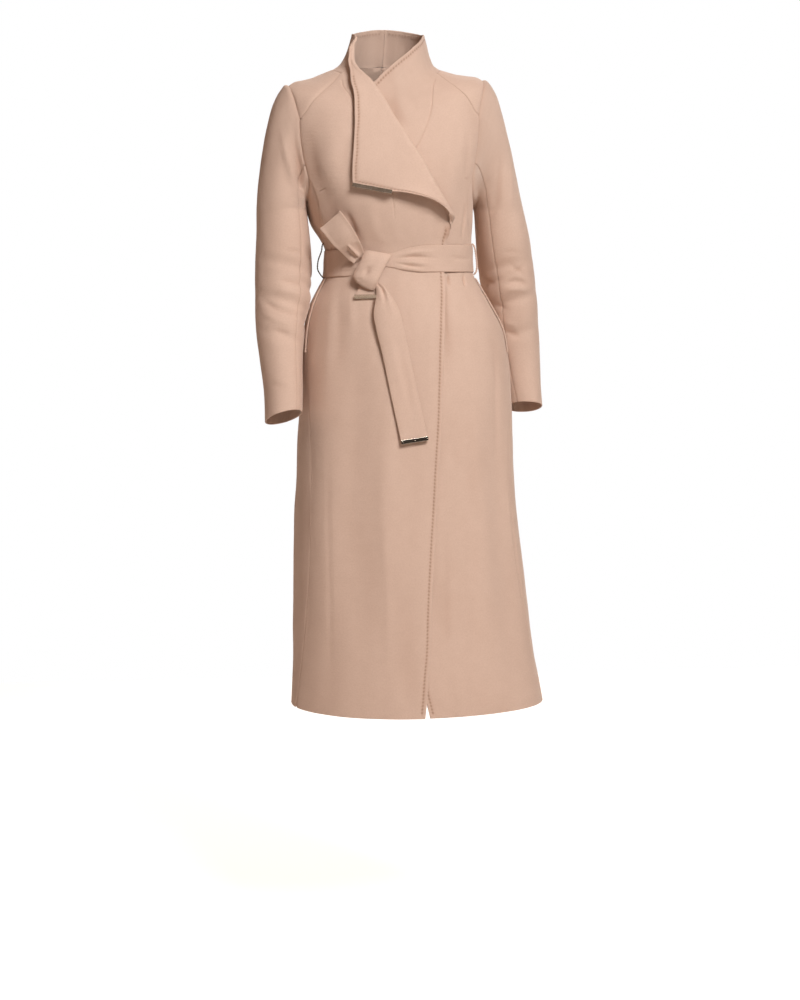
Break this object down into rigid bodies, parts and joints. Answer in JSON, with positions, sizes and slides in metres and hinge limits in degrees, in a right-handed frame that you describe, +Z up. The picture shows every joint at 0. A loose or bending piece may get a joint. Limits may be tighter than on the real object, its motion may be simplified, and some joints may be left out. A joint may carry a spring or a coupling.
{
  "type": "wool wrap coat",
  "caption": "Long belted wrap coat in soft wool, hollow worn form without a wearer: standing collar, draped lapel, slim set-in sleeves, tie belt and plain metal trims.",
  "frame": {"origin": "middle of the neck opening at shoulder level, where the wearer's neck and shoulders hold the coat", "axes": "+Z up, +X to the wearer's left, -Y to the front"},
  "size_m": [0.5363, 0.3282, 1.2209],
  "materials": {
    "wool": "soft brushed wool",
    "metal": "polished pale gold"
  },
  "bodies": {
    "root": {"back_left": "wool", "back_right": "wool", "belt_carrier_left": "wool", "belt_carrier_right": "wool", "belt_knot": "wool", "belt_long_tail": "wool", "belt_loop": "wool", "belt_short_end": "wool", "belt_waist": "wool", "front_left": "wool", "front_right": "wool", "lapel_bar": "metal", "pocket_welt_left": "wool", "pocket_welt_right": "wool", "short_end_bar": "metal", "sleeve_left_top": "wool", "sleeve_left_under": "wool", "sleeve_right_top": "wool", "sleeve_right_under": "wool", "tail_bar": "metal", "yoke_left": "wool", "yoke_right": "wool"}
  },
  "joints": []
}
